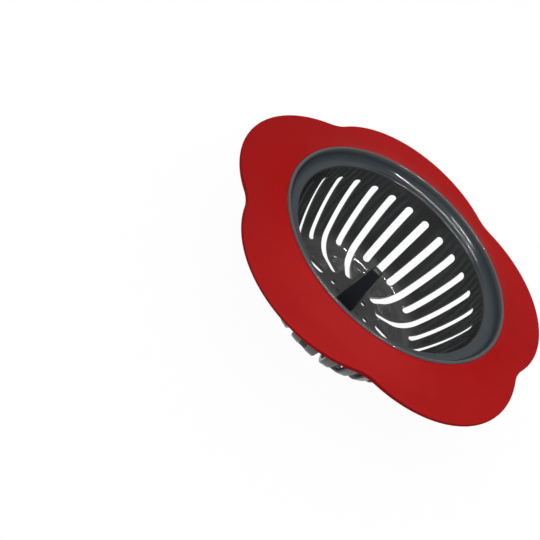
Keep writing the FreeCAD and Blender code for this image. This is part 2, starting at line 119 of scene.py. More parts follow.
class BasketSettings(bpy.types.PropertyGroup):
    """Sizes and colours of the slotted basket."""

    height: length("Height", "Foot to the top of the lip", BASKET_HIGH.z)
    rim_radius: mm("Collar radius", "Axis to the outside of the collar", 39.4)
    wall: mm("Wall", "Thickness of wall and floor", 1.4)
    floor_rise: length("Floor rise", "Height of the floor's flat middle over the foot", POST_LOW.z)
    floor_flat: mm("Floor flat", "Radius of the floor's flat middle", 11.5)
    dish_blend: mm("Dish blend", "Round between the sloping floor and its flat middle or foot", 8)
    foot_outer: mm("Foot", "Outer radius of the ring that the basket stands on", 22.1)
    foot_width: mm("Foot width", "Flat width of that ring", 0.7)
    shoulder: mm("Shoulder", "Outer round between floor and wall", 7.7)
    bulge: mm("Bulge", "Barrel curve of the wall", 66.0)
    wall_top: mm("Wall top", "Outer radius of the wall under the collar", 35.2)
    wall_root: mm("Wall root", "Hollow round between wall and collar", 0.8)
    collar_height: mm("Collar height", "Underside of the collar to the top of the lip", 5.8)
    ledge_depth: mm("Ledge depth", "Top of the lip to the ledge", 3.2)
    lip_width: mm("Lip width", "Thickness of the upright lip", 1.1)
    lip_round: mm("Lip round", "Round on the lip's edges", 0.5)
    lip_draft: mm("Lip draft", "How much thicker the lip is at its foot", 0.15)
    cove_rise: mm("Cove rise", "Height of the hollow from lip to ledge", 2.3)
    cove_reach: mm("Cove reach", "Width of that hollow on the ledge", 3.0)
    ledge_round: mm("Ledge round", "Round on the ledge's inner edge", 0.6)
    tongue_tip: length("Tongue", "Axis to the tip of the tongue in the soft rim", BASKET_HIGH.x)
    tongue_low: mm("Tongue height", "Underside of the collar to the tongue", 2.1)
    tongue_thickness: mm("Tongue thickness", "Thickness of the tongue", 1.1)
    edge_round: mm("Edge round", "Small round on moulded corners", 0.18)
    slot_pairs: number("Slot pairs", "Long slots, with as many short ones", 15)
    slot_width: mm("Slot width", "Width of every slot", 2.6)
    slot_turn: degrees("Slot turn", "Turn from a petal's middle to a long slot", 4.0)
    slot_drop: mm("Slot drop", "Underside of the collar to the slots' upper ends", 2.2)
    long_slot_end: mm("Long slot end", "Axis to the inner end of a long slot", 12.4)
    short_slot_end: mm("Short slot end", "Axis to the inner end of a short slot", 25.8)
    end_roll: mm("End roll", "Outer round at the slots' upper ends", 0.85)
    wall_roll: mm("Wall roll", "Outer round along the slots in the wall", 0.45)
    floor_roll: mm("Floor roll", "Outer round along the slots in the floor", 0.22)
    inner_roll: mm("Inner roll", "Round along the slots inside", 0.22)
    hole_count: number("Holes", "Holes in each ring of the floor", 8)
    outer_hole_place: mm("Outer ring", "Axis to the outer ring of holes", 8.5)
    outer_hole: mm("Outer hole", "Diameter of the holes in the outer ring", 2.1)
    inner_hole_place: mm("Inner ring", "Axis to the inner ring of holes", 5.1)
    inner_hole: mm("Inner hole", "Diameter of the holes in the inner ring", 1.4)
    hole_roll: mm("Hole roll", "Round on the edges of the floor's holes", 0.16)
    dark: colour("Dark charcoal", "Darker tone of the moulding", 0.0342, 0.0347, 0.0355)
    light: colour("Light charcoal", "Lighter tone of the moulding", 0.0406, 0.0413, 0.0423)
    # Painted sheen: this lighter tone of the floor stands in for the light that falls on it.
    painted_floor_sheen: colour("Worn floor", "Lighter tone of the scrubbed floor", 0.067, 0.067, 0.067)
    # Partly the collar's own grey-blue tone and partly a painted reflection of a cool room on its upward
    # faces.
    slate_and_cool_reflection: colour("Slate collar", "Cool tone of the collar's smooth top", 0.03, 0.0385, 0.0455)
    # Painted highlight: the crest's lighter tone stands in for the lamps' shine on its convex round.
    painted_crest_highlight: colour("Rubbed crest", "Tone of the lip's rubbed crest", 0.075, 0.079, 0.083)


class RimSettings(bpy.types.PropertyGroup):
    """Sizes and colours of the soft petal rim."""

    petal_count: number("Petals", "Petals round the rim", 5)
    tip_radius: length("Tip radius", "Axis to the middle of a petal's edge", RIM_HIGH.x)
    petal_arc: mm("Petal arc", "Round of a petal's edge", 35.2)
    valley_arc: mm("Valley arc", "Round between two petals", 12.5)
    edge_drop: mm("Edge drop", "Top of the lip to the top of the rim's edge", 3.3)
    edge_thickness: mm("Edge thickness", "Thickness of the rim's edge", 0.9)
    edge_round: mm("Edge round", "Round on the rim's edge", 0.44)
    blend_radius: mm("Blend radius", "Where the rim starts to thicken", 50.0)
    sheet_rise: mm("Sheet rise", "Rise of the top from the edge to there", 0.45)
    sheet_fall: mm("Sheet fall", "Fall of the underside from the edge to there", 0.15)
    root_step: mm("Root step", "How far the collar stands proud of the rim", 0.3)
    bond: mm("Bond", "Bond line between collar and rim", 0.03)
    deep: colour("Deep red", "Darker tone of the soft rim", 0.340, 0.0022, 0.0028)
    bright: colour("Bright red", "Lighter tone of the soft rim", 0.396, 0.0040, 0.0046)
    # Painted shade: one side of the rim is deepened as if less light fell on it.
    painted_shade_red: colour("Ripe red", "Deepest tone, towards one petal", 0.312, 0.0010, 0.0014)
    # Painted shade: this darker tone stands in for the shade on the rim's rounded edge.
    edge: colour("Edge red", "Tone of the rim's moulded edge", 0.200, 0.0014, 0.0032)


class PostSettings(bpy.types.PropertyGroup):
    """Sizes and colour of the grip post."""

    top: length("Top", "Height of the tip over the foot", POST_HIGH.z)
    turn: degrees("Turn", "Turn from a petal's middle to the wide side", 33.0)
    base_width: mm("Base width", "Wide side at the floor", 6.4)
    base_depth: mm("Base depth", "Narrow side at the floor", 5.6)
    tip_width: mm("Tip width", "Wide side at the tip", 3.5)
    edge_round: mm("Edge round", "Round on the long edges and the tip", 0.8)
    tab_width: mm("Tab width", "Tab through the floor, along the wide side", 6.0)
    tab_depth: mm("Tab depth", "Tab through the floor, across it", 0.6)
    tab_gap: mm("Tab gap", "Clearance of the tab in its slit", 0.05)
    black: colour("Post black", "Colour of the post", 0.006, 0.008, 0.011)


class StageSettings(bpy.types.PropertyGroup):
    """Camera and light of the plain white stage."""

    camera_place: point("Camera", "Place of the camera", 0.145480, -0.217600, 0.210379)
    camera_aim: point("Aim", "Point in the middle of the picture", -0.014458, -0.020946, -0.000923)
    camera_roll: degrees("Roll", "Turn of the camera about its own line of sight", 42.5)
    lens: FloatProperty(name="Lens", description="Focal length on a 36 mm sensor", default=70.33)
    sky_top: light_level("Sky overhead", "Strength of the studio's light overhead", 0.72)
    sky_low: light_level("Sky low", "Strength of the studio's light above the horizon", 0.12)
    far_window: light_level("Far window", "Strength that the far window adds", 0.5)
    front_window: light_level("Front window", "Strength that the front window adds", 1.1)
    floor_radius: length("Floor radius", "Radius of the pale floor", 30.0)


def rows_and_columns(shape, wrap_columns=False):
    """Quads of a grid of points, given as its rows and columns, closed across the columns if asked."""
    rows, columns = shape
    index = np.arange(rows * columns).reshape(rows, columns)
    if wrap_columns:
        index = np.concatenate([index, index[:, :1]], axis=1)
    corners = index[:-1, :-1], index[:-1, 1:], index[1:, 1:], index[1:, :-1]
    return np.stack([corner.ravel() for corner in corners], axis=1)


class Patchwork:
    """Grids of points that are gathered, welded along their shared borders and made one mesh."""

    def __init__(self):
        self.points = []
        self.quads = []
        self.total = 0

    def add(self, grid, wrap_columns=False):
        """Adds grids of shape (..., rows, columns, 3), all alike."""
        rows, columns = grid.shape[-3:-1]
        pattern = rows_and_columns((rows, columns), wrap_columns)
        grids = grid.reshape(-1, rows * columns, 3)
        offsets = self.total + np.arange(len(grids)) * rows * columns
        self.points.append(grids.reshape(-1, 3))
        self.quads.append((pattern[None] + offsets[:, None, None]).reshape(-1, 4))
        self.total += len(grids) * rows * columns

    def add_openings(self, outer, inner, steps):
        """Adds the loops round openings in two faces, and straight sides from first loop to first loop."""
        share = np.linspace(0, 1, steps + 1)[:, None, None]
        sides = outer[..., :1, :, :] * (1 - share) + inner[..., :1, :, :] * share
        for grid in (outer, inner, sides):
            self.add(grid, wrap_columns=True)

    def mesh(self, name, weld=1e-6):
        """One smooth mesh with its doubles merged and its faces turned outwards."""
        mesh = bpy.data.meshes.new(name)
        mesh.from_pydata(np.concatenate(self.points).tolist(), [], np.concatenate(self.quads).tolist())
        net = bmesh.new()
        net.from_mesh(mesh)
        bmesh.ops.remove_doubles(net, verts=net.verts, dist=weld)
        bmesh.ops.recalc_face_normals(net, faces=net.faces)
        net.to_mesh(mesh)
        net.free()
        mesh.shade_smooth()
        return mesh


def new_object(name, data):
    """An object in the scene for a mesh, lamp or camera."""
    thing = bpy.data.objects.new(name, data)
    bpy.context.scene.collection.objects.link(thing)
    return thing


def show(mesh, node, material):
    """Puts a finished mesh in the scene in place of its CAD node."""
    piece = new_object(mesh.name, mesh)
    mesh.materials.append(material)
    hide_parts(node)
    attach(piece, BODY)


def arc(centre, radius, first, last, count):
    """Points of an arc in the (r, z) half plane between two angles in radians, and its unit directions."""
    angle = np.linspace(first, last, count)
    direction = np.stack([np.cos(angle), np.sin(angle)], axis=1)
    return np.array(centre) + radius * direction, direction


def turned(profile, angles):
    """Surface of revolution: every (r, z) of the profile carried to every angle, rows along the profile."""
    r, z = profile[:, 0, None], profile[:, 1, None]
    level = np.broadcast_to(z, (len(profile), len(angles)))
    return np.stack([r * np.cos(angles), r * np.sin(angles), level], axis=-1)


class Sheet:
    """One face of the basket's wall and floor: r, z and normal by the length along its section."""

    def __init__(self, points, normals, facing):
        steps = np.hypot(*np.diff(points, axis=0).T)
        self.s = np.concatenate([[0], np.cumsum(steps)])
        self.points, self.normals, self.facing = points, normals, facing

    def read(self, table, s):
        """Both columns of the section's points or normals at that length."""
        return np.interp(s, self.s, table[:, 0]), np.interp(s, self.s, table[:, 1])

    def at_radius(self, radius):
        """Length along the section where that radius is reached."""
        return float(np.interp(radius, self.points[:, 0], self.s))

    def at_level(self, level):
        """Length along the section where the wall reaches that height."""
        foot = int(np.argmin(self.points[:, 1]))
        return float(np.interp(level, self.points[foot:, 1], self.s[foot:]))

    def sunk(self, s, drop):
        """The (r, z) at that length, sunk into the material by the drop."""
        (r, z), (out, up) = self.read(self.points, s), self.read(self.normals, s)
        return r - drop * self.facing * out, z - drop * self.facing * up

    def place(self, angle, s, drop):
        """Point of the sheet at that angle and length, sunk by the drop: (r cos a, r sin a, z)."""
        r, z = self.sunk(s, drop)
        return np.stack([r * np.cos(angle), r * np.sin(angle), np.broadcast_to(z, angle.shape)], axis=-1)


def basket_section(sizes):
    """Outside of floor, foot, shoulder and wall as joined arcs, and the inside one wall thickness within."""
    fine = 160  # points of each arc, which the nets read in between
    foot_inner = sizes.foot_outer - sizes.foot_width
    run = foot_inner - sizes.floor_flat
    # Slope of the floor: two equal rounds and the straight cone between them span the run and the rise
    dish = sizes.dish_blend
    spread = math.hypot(run, 2 * dish - sizes.floor_rise)
    lean = math.asin(2 * dish / spread) - math.atan2(2 * dish - sizes.floor_rise, run)
    collar_under = sizes.height - sizes.collar_height
    shoulder = np.array([sizes.foot_outer, sizes.shoulder])
    top = np.array([sizes.wall_top, collar_under])
    # Centre of the wall's arc: it passes through the top and runs on smoothly from the shoulder's arc
    span = np.linalg.norm(top - shoulder)
    near_side = sizes.bulge - sizes.shoulder
    along = (near_side**2 - sizes.bulge**2 + span**2) / (2 * span)
    aside = math.sqrt(near_side**2 - along**2)
    unit = (top - shoulder) / span
    middle = shoulder + along * unit + aside * np.array([-unit[1], unit[0]])
    join = math.atan2(*(shoulder - middle)[::-1])
    ledge = sizes.height - sizes.ledge_depth
    end = math.asin((ledge - middle[1]) / (sizes.bulge - sizes.wall))

    quarter = math.pi / 2
    high, high_way = arc((sizes.floor_flat, sizes.floor_rise - dish), dish, quarter, quarter - lean, fine)
    low, low_way = arc((foot_inner, dish), dish, -quarter - lean, -quarter, fine)
    rounded, rounded_way = arc(shoulder, sizes.shoulder, -quarter, join, fine)
    wall, wall_way = arc(middle, sizes.bulge, join, end, fine)
    share = np.linspace(0, 1, fine)[1:-1, None]
    cone = high[-1] * (1 - share) + low[0] * share
    cone_way = np.broadcast_to(low_way[0], cone.shape)
    points = np.concatenate([high, cone, low, rounded, wall[1:]])
    normals = np.concatenate([-high_way, cone_way, low_way, rounded_way, wall_way[1:]])
    outer = Sheet(points, normals, 1)
    inner = Sheet(points - sizes.wall * normals, normals, -1)
    return outer, inner


class SlotNet:
    """Net of one sheet round its long and short slots.

    Round each slot lie loops that keep an even distance from its edge, where the sheet rolls over, and then
    spread out to the borders of the slot's cell. The cells meet on the middle of the ribs. Lengths run
    along the sheet's section, from the border of the floor's flat middle up the wall.
    """

    corner_steps = 4
    end_steps = 8
    low_rows = 14
    high_rows = 22
    roll_steps = 4
    spread_steps = 3
    support = 0.2 * MM
    short_margin = 2.0 * MM
    floor_spread = 1.6  # width of a long slot's cell at its inner end, against the wall
    end_reach = 3  # half widths below the upper end where the roll starts to grow

    def __init__(self, sheet, sizes, top, rolls):
        self.sheet = sheet
        self.half = sizes.slot_width / 2
        self.sector = math.tau / sizes.slot_pairs
        self.top = top
        self.bottom = 0.0
        collar_under = sizes.height - sizes.collar_height
        self.long_low = sheet.at_radius(sizes.long_slot_end) + self.half
        self.short_low = sheet.at_radius(sizes.short_slot_end) + self.half
        self.short_bottom = self.short_low - self.half - self.short_margin
        self.high = sheet.at_level(collar_under - sizes.slot_drop) - self.half
        self.rolls = rolls

    def rib_middle(self, s):
        """Angle from a long slot's middle to its cell's border: a quarter sector, more on the floor."""
        quarter = self.sector / 4
        wide = self.floor_spread * quarter
        places = [self.bottom, self.long_low, self.short_bottom, self.short_low]
        return np.interp(s, places, [quarter, wide, quarter, quarter])

    def roll(self, s):
        """Radius of the rolled edge, which grows from the floor to the wall and again to the upper end."""
        places = [self.long_low, self.short_low, self.high - self.end_reach * self.half, self.high]
        return np.interp(s, places, self.rolls)

    def border_rows(self):
        """Rows along the ribs' middles, with the number of the row where the short slots' cells start."""
        stops = [self.bottom, self.long_low, self.short_bottom, self.short_low, self.high, self.top]
        steps = [self.corner_steps, self.low_rows, self.corner_steps, self.high_rows, self.corner_steps]
        pieces = [np.linspace(a, b, n, endpoint=False) for a, b, n in zip(stops, stops[1:], steps)]
        return np.concatenate(pieces + [[self.top]]), self.corner_steps + self.low_rows

    def cell(self, rows, low, half_width):
        """Angle, length and drop of all loops round one slot, whose cell is half_width(s) to each side."""
        count = len(rows)
        eighth = math.pi / 4
        fan = np.linspace(0, eighth, self.corner_steps + 1)
        straight = np.zeros(count - 2 * len(fan))
        right = np.concatenate([-fan[::-1], straight, fan])
        across = np.arange(1, self.end_steps) / self.end_steps
        turn = np.concatenate([
            right, eighth + 2 * eighth * across, math.pi - right[::-1], 5 * eighth + 2 * eighth * across,
        ])
        held = np.clip(rows, low, self.high)
        none = 0 * across
        core = np.concatenate([held, none + self.high, held[::-1], none + low])
        side = half_width(rows)
        border_s = np.concatenate([rows, none + rows[-1], rows[::-1], none + rows[0]])
        border_angle = np.concatenate([
            side, side[-1] * (1 - 2 * across), -side[::-1], side[0] * (2 * across - 1),
        ])
        # Rolled edge: at the angle t of its round a loop lies r (1 - cos t) out and r (1 - sin t) deep
        t = np.linspace(0, math.pi / 2, self.roll_steps + 1)[:, None]
        radius = self.roll(core)
        away = np.concatenate([radius * (1 - np.cos(t)), radius[None] + self.support])
        drop = np.concatenate([radius * (1 - np.sin(t)), 0 * radius[None]])
        offset = (self.half + away) * np.cos(turn)
        s = core + (self.half + away) * np.sin(turn)
        angle = np.arcsin(offset / self.sheet.sunk(s, drop)[0])
        # Spread from the last loop to the cell's border
        share = (np.arange(1, self.spread_steps + 1) / self.spread_steps)[:, None]
        spread_angle = angle[-1] * (1 - share) + border_angle * share
        spread_s = s[-1] * (1 - share) + border_s * share
        return (
            np.concatenate([angle, spread_angle]),
            np.concatenate([s, spread_s]),
            np.concatenate([drop, 0 * spread_s]),
        )

    def grids(self, first_turn, pairs):
        """Points of all long cells, all short cells and the strips of floor below the short cells."""
        rows, start = self.border_rows()
        turns = first_turn + self.sector * np.arange(pairs)[:, None, None]
        half_sector = self.sector / 2
        angle, s, drop = self.cell(rows, self.long_low, self.rib_middle)
        long_cells = self.sheet.place(angle + turns, s + 0 * turns, drop)

        def short_width(at):
            return half_sector - self.rib_middle(at)

        angle, s, drop = self.cell(rows[start:], self.short_low, short_width)
        short_cells = self.sheet.place(angle + turns + half_sector, s + 0 * turns, drop)
        low_rows = rows[: start + 1, None]
        across = np.linspace(-1, 1, self.end_steps + 1)
        strip = half_sector + across * short_width(low_rows)
        strips = self.sheet.place(strip + turns, low_rows + 0 * strip + 0 * turns, 0.0)
        return long_cells, short_cells, strips


def hole_cells(place, diameter, inside, outside, roll, level, facing, count, turn, steps):
    """Loops round a ring of holes in the flat floor: rolled edge, then out to a wedge between two radii.

    At the angle t of the roll a loop lies roll (1 - cos t) out and roll (1 - sin t) deep.
    """
    side_steps = 8
    roll_steps = 3
    support = 1.6  # rolls from the hole's edge to the loop that keeps the flat floor flat
    half = math.pi / count
    arc_angle = np.linspace(-half, half, steps + 1)
    down = np.linspace(outside, inside, side_steps + 1)[1:-1]
    radius = np.concatenate([np.full(steps + 1, outside), down, np.full(steps + 1, inside), down[::-1]])
    none = 0 * down
    angle = np.concatenate([arc_angle, none + half, arc_angle[::-1], none - half])
    border = np.stack([radius * np.cos(angle), radius * np.sin(angle)], axis=-1)
    centre = np.array([place, 0.0])
    ray = border - centre
    ray /= np.linalg.norm(ray, axis=1, keepdims=True)
    t = np.linspace(0, math.pi / 2, roll_steps + 1)
    away = np.concatenate([roll * (1 - np.cos(t)), [support * roll]])[:, None, None]
    loops = centre + (diameter / 2 + away) * ray
    share = np.array([0.5, 1.0])[:, None, None]
    drop = np.concatenate([roll * (1 - np.sin(t)), [0], 0 * share.ravel()])
    loops = np.concatenate([loops, loops[-1] * (1 - share) + border * share])
    turns = turn + 2 * half * np.arange(count)[:, None, None]
    x = loops[..., 0] * np.cos(turns) - loops[..., 1] * np.sin(turns)
    y = loops[..., 0] * np.sin(turns) + loops[..., 1] * np.cos(turns)
    z = np.broadcast_to((level - facing * drop)[:, None], x.shape)
    return np.stack([x, y, z], axis=-1)


def slit_loops(post, radius, level, angles):
    """Loops from the slit of the post's tab to a circle in the floor.

    The slit is the curve |x / a|^n + |y / b|^n = 1, a rectangle with small round corners.
    """
    squareness = 14
    steps = 3
    turned_back = angles - post.turn
    half_width = post.tab_width / 2 + post.tab_gap
    half_depth = post.tab_depth / 2 + post.tab_gap
    near = (np.abs(np.cos(turned_back) / half_width) ** squareness
            + np.abs(np.sin(turned_back) / half_depth) ** squareness) ** (-1 / squareness)
    share = np.linspace(0, 1, steps + 1)[:, None]
    r = near * (1 - share) + radius * share
    return np.stack([r * np.cos(angles), r * np.sin(angles), np.full(r.shape, level)], axis=-1)


def corner_curve(first, corner, last, steps):
    """Short curve that leaves and ends along a corner's sides: p (1 - t)^2 + 2 c t (1 - t) + q t^2."""
    t = np.linspace(0, 1, steps + 1)[:, None]
    return first * (1 - t) ** 2 + corner * 2 * t * (1 - t) + last * t**2


def eased(points, round_size):
    """A corner line whose inner corners are rounded, each by a short curve between its two sides."""
    steps = 4
    points = np.array(points)
    out = [points[:1]]
    for before, corner, after in zip(points, points[1:], points[2:]):
        first = corner + (before - corner) * min(1, round_size / np.linalg.norm(before - corner))
        last = corner + (after - corner) * min(1, round_size / np.linalg.norm(after - corner))
        out.append(corner_curve(first, corner, last, steps))
    return np.concatenate(out + [points[-1:]])


def collar_profile(sizes, outer, inner, outer_top, inner_top):
    """Section of the collar from the wall's outside to its inside: root, tongue, lip, cove and ledge.

    The root and the lip's edges are arcs, and the cove is a quarter ellipse.
    """
    root_points, crest_points, cove_points, brow_steps, wall_points = 9, 7, 21, 12, 7
    quarter = math.pi / 2
    under = sizes.height - sizes.collar_height
    ledge = sizes.height - sizes.ledge_depth
    lip_inside = sizes.rim_radius - sizes.lip_width
    start = np.array(outer.sunk(outer_top, 0.0))
    out, up = outer.read(outer.normals, outer_top)
    lean = math.atan2(up, out)
    root_centre = start + sizes.wall_root * np.array([math.cos(lean), math.sin(lean)])
    root, _ = arc(root_centre, sizes.wall_root, math.pi + lean, quarter, root_points)
    tongue = under + sizes.tongue_low
    crest = sizes.height - sizes.lip_round
    outside = eased([
        root[-1],
        (sizes.rim_radius, under),
        (sizes.rim_radius, tongue),
        (sizes.tongue_tip, tongue),
        (sizes.tongue_tip, tongue + sizes.tongue_thickness),
        (sizes.rim_radius, tongue + sizes.tongue_thickness),
        (sizes.rim_radius, crest),
    ], sizes.edge_round)
    out_centre = sizes.rim_radius - sizes.lip_round, crest
    in_centre = lip_inside + sizes.lip_round, crest
    crest_out, _ = arc(out_centre, sizes.lip_round, 0, quarter, crest_points)
    crest_in, _ = arc(in_centre, sizes.lip_round, quarter, 2 * quarter, crest_points)
    _, sweep = arc((0, 0), 1, 0, -quarter, cove_points)
    cove_centre = np.array([lip_inside - sizes.lip_draft - sizes.cove_reach, ledge + sizes.cove_rise])
    cove = cove_centre + sweep * np.array([sizes.cove_reach, sizes.cove_rise])
    ledge_end = inner.at_level(ledge)
    corner = np.array(inner.sunk(ledge_end, 0.0))
    down = np.linspace(ledge_end - sizes.ledge_round, inner_top, wall_points)
    wall = np.stack(inner.sunk(down, 0.0), axis=1)
    brow = corner_curve(corner + np.array([sizes.ledge_round, 0.0]), corner, wall[0], brow_steps)
    return np.concatenate([root, outside[1:], crest_out[1:], crest_in, cove, brow, wall[1:]])


def build_basket(sizes, post):
    """The whole moulding: two slotted sheets, the slots' sides, the drilled floor and the collar."""
    work = Patchwork()
    outer, inner = basket_section(sizes)
    under = sizes.height - sizes.collar_height
    top_level = under - NET_TOP * sizes.wall_root
    tops = outer.at_level(top_level), inner.at_level(top_level)
    outer_rolls = [sizes.floor_roll, sizes.wall_roll, sizes.wall_roll, sizes.end_roll]
    inner_rolls = [sizes.inner_roll] * len(outer_rolls)
    nets = SlotNet(outer, sizes, tops[0], outer_rolls), SlotNet(inner, sizes, tops[1], inner_rolls)
    long_cells, short_cells, strips = zip(*(net.grids(sizes.slot_turn, sizes.slot_pairs) for net in nets))
    work.add_openings(*long_cells, steps=2)
    work.add_openings(*short_cells, steps=2)
    for strip in strips:
        work.add(strip)

    columns = 2 * SlotNet.end_steps * sizes.slot_pairs
    angles = sizes.slot_turn + math.tau * np.arange(columns) / columns
    work.add(turned(collar_profile(sizes, outer, inner, *tops), angles), wrap_columns=True)

    ring_steps = columns // sizes.hole_count
    rings = (
        (sizes.outer_hole_place, sizes.outer_hole, HOLES_BORDER, sizes.floor_flat),
        (sizes.inner_hole_place, sizes.inner_hole, SLIT_BORDER, HOLES_BORDER),
    )
    levels = sizes.floor_rise, sizes.floor_rise + sizes.wall
    for place, diameter, inside, outside in rings:
        faces = [
            hole_cells(place, diameter, inside, outside, sizes.hole_roll, level, facing,
                       sizes.hole_count, sizes.slot_turn, ring_steps)
            for level, facing in zip(levels, (-1, 1))
        ]
        work.add_openings(*faces, steps=1)
    slits = [slit_loops(post, SLIT_BORDER, level, angles) for level in levels]
    work.add_openings(*slits, steps=1)
    return work.mesh("basket_moulding")


def petal_outline(rim, angles):
    """Radius of the rim's edge: round petals that run into hollow valleys, both arcs of circles."""
    pitch = math.tau / rim.petal_count
    half = pitch / 2
    centre = rim.tip_radius - rim.petal_arc
    from_petal = (angles + half) % pitch - half
    from_valley = angles % pitch - half
    reach = rim.petal_arc + rim.valley_arc
    valley = centre * math.cos(half) + math.sqrt(reach**2 - (centre * math.sin(half)) ** 2)
    share = rim.petal_arc / reach
    meet = (centre + (valley * math.cos(half) - centre) * share, valley * math.sin(half) * share)
    limit = math.atan2(meet[1], meet[0])
    petal = centre * np.cos(from_petal) + np.sqrt(rim.petal_arc**2 - (centre * np.sin(from_petal)) ** 2)
    inside = np.maximum(rim.valley_arc**2 - (valley * np.sin(from_valley)) ** 2, 0)
    hollow = valley * np.cos(from_valley) - np.sqrt(inside)
    return np.where(np.abs(from_petal) < limit, petal, hollow)


def sheet_and_root(r, edge, blend, root):
    """Height of the rim's face at each radius: a straight sheet, then a circle that leaves it smoothly.

    edge, blend and root are (r, z): the edge of the sheet, its inner end and the end of the circle.
    """
    slope = (blend[1] - edge[1]) / (blend[0] - edge[0])
    line = edge[1] + slope * (r - edge[0])
    unit = np.array([1.0, slope]) / math.hypot(1, slope)
    normal = np.array([-unit[1], unit[0]])
    chord = np.array([root[0] - blend[0], root[1] - blend[1]])
    bend = chord @ chord / (2 * chord @ normal)
    centre = np.array(blend) + bend * normal
    lift = np.sqrt(np.maximum(bend**2 - (r - centre[0]) ** 2, 0))
    curve = centre[1] - math.copysign(1, bend) * lift
    return np.where(r < blend[0], curve, line)


def build_rim(rim, sizes):
    """The soft rim: one closed section carried round the petal outline, with a groove for the tongue."""
    columns, sheet_rows, round_rows = 600, 22, 5
    angles = math.tau * np.arange(columns) / columns
    reach = petal_outline(rim, angles)
    root = sizes.rim_radius + rim.bond
    edge_top = sizes.height - rim.edge_drop
    edge_under = edge_top - rim.edge_thickness
    root_top = sizes.height - rim.root_step
    under = sizes.height - sizes.collar_height
    root_under = under + rim.root_step
    tongue_low = under + sizes.tongue_low
    tongue_high = tongue_low + sizes.tongue_thickness + rim.bond
    tongue_tip = sizes.tongue_tip + rim.bond

    share = np.linspace(0, 1, sheet_rows)[:, None]
    shelf = reach - rim.edge_round
    r = root + (shelf - root) * share
    blend_top = (rim.blend_radius, edge_top + rim.sheet_rise)
    blend_under = (rim.blend_radius, edge_under - rim.sheet_fall)
    top = sheet_and_root(r, (rim.tip_radius, edge_top), blend_top, (sizes.rim_radius, root_top))
    low = sheet_and_root(r, (rim.tip_radius, edge_under), blend_under, (sizes.rim_radius, root_under))
    t = np.linspace(0, math.pi / 2, round_rows + 1)[1:, None]
    round_r = shelf + rim.edge_round * np.sin(t)
    round_top = top[-1] - rim.edge_round * (1 - np.cos(t))
    round_low = low[-1] + rim.edge_round * (1 - np.cos(t))
    groove = np.array([
        (root, tongue_low), (tongue_tip, tongue_low), (tongue_tip, tongue_high), (root, tongue_high),
    ])[:, :, None]
    groove_r, groove_z = np.broadcast_to(groove, (4, 2, columns)).transpose(1, 0, 2)
    r_all = np.concatenate([r, round_r, round_r[::-1], r[::-1], groove_r, r[:1]])
    z_all = np.concatenate([top, round_top, round_low[::-1], low[::-1], groove_z, top[:1]])
    grid = np.stack([r_all * np.cos(angles), r_all * np.sin(angles), z_all], axis=-1)
    work = Patchwork()
    work.add(grid, wrap_columns=True)
    mesh = work.mesh("petal_rim")
    # Distance from the outline at every point, counted in edge rounds up to two
    place = np.empty(3 * len(mesh.vertices), dtype=np.float32)
    mesh.vertices.foreach_get("co", place)
    x, y, _ = place.reshape(-1, 3).T
    outline = petal_outline(rim, np.arctan2(y, x) % math.tau)
    edge = (outline - np.hypot(x, y)) / rim.edge_round
    mesh.attributes.new(EDGE, "FLOAT", "POINT").data.foreach_set("value", np.clip(edge, 0, 2))
    return mesh


def rounded_boxes(half_width, half_depth, corner, level, turn, corner_steps=6):
    """Stack of level rounded rectangles: four quarter arcs each, joined by straight sides."""
    quarter = np.linspace(0, math.pi / 2, corner_steps + 1)
    angle = np.concatenate([quarter + k * math.pi / 2 for k in range(4)])
    sign_x, sign_y = np.repeat([1, -1, -1, 1], len(quarter)), np.repeat([1, 1, -1, -1], len(quarter))
    column = [np.asarray(value, float)[:, None] for value in (half_width, half_depth, corner, level)]
    width, depth, radius, z = column
    x = sign_x * (width - radius) + radius * np.cos(angle)
    y = sign_y * (depth - radius) + radius * np.sin(angle)
    cos, sin = math.cos(turn), math.sin(turn)
    return np.stack([x * cos - y * sin, x * sin + y * cos, np.broadcast_to(z, x.shape)], axis=-1)


def build_post(post, sizes):
    """Stacked rounded rectangles: tab, foot of the post, leaning sides, rolled tip and closed ends."""
    side_rows, tip_rows = 12, 6
    tab_corner = 0.12 * MM
    least_corner = 0.02 * MM
    largest_corner = 0.999  # of half a side
    # Shares of the size by which the tip closes to a point, and the tab opens from one
    shrink = np.array([0.6, 0.25, 0.0])
    ends = np.array([0.0, 0.5, 1.0, 1.0])
    floor = sizes.floor_rise
    seat = floor + sizes.wall
    height = post.top - seat
    lean = (post.base_width - post.tip_width) / 2 / height
    t = np.linspace(0, math.pi / 2, tip_rows + 1)[1:]
    sides = np.linspace(0, height - post.edge_round, side_rows)
    rise = np.concatenate([sides, height - post.edge_round * (1 - np.sin(t))])
    inset = lean * rise
    inset[side_rows:] += post.edge_round * (1 - np.cos(t))
    width, depth = post.base_width / 2 - inset, post.base_depth / 2 - inset
    corner = np.minimum(post.edge_round, np.minimum(width, depth) * largest_corner)
    corner[side_rows:] = np.maximum(post.edge_round * np.cos(t), least_corner)
    half_width = np.concatenate([post.tab_width / 2 * ends, width, width[-1] * shrink])
    half_depth = np.concatenate([post.tab_depth / 2 * ends, depth, depth[-1] * shrink])
    corners = np.concatenate([tab_corner * ends, corner, corner[-1] * shrink])
    levels = np.concatenate([[floor, floor, floor, seat], seat + rise, post.top + 0 * shrink])
    work = Patchwork()
    work.add(rounded_boxes(half_width, half_depth, corners, levels, post.turn), wrap_columns=True)
    return work.mesh("grip_post_moulding")


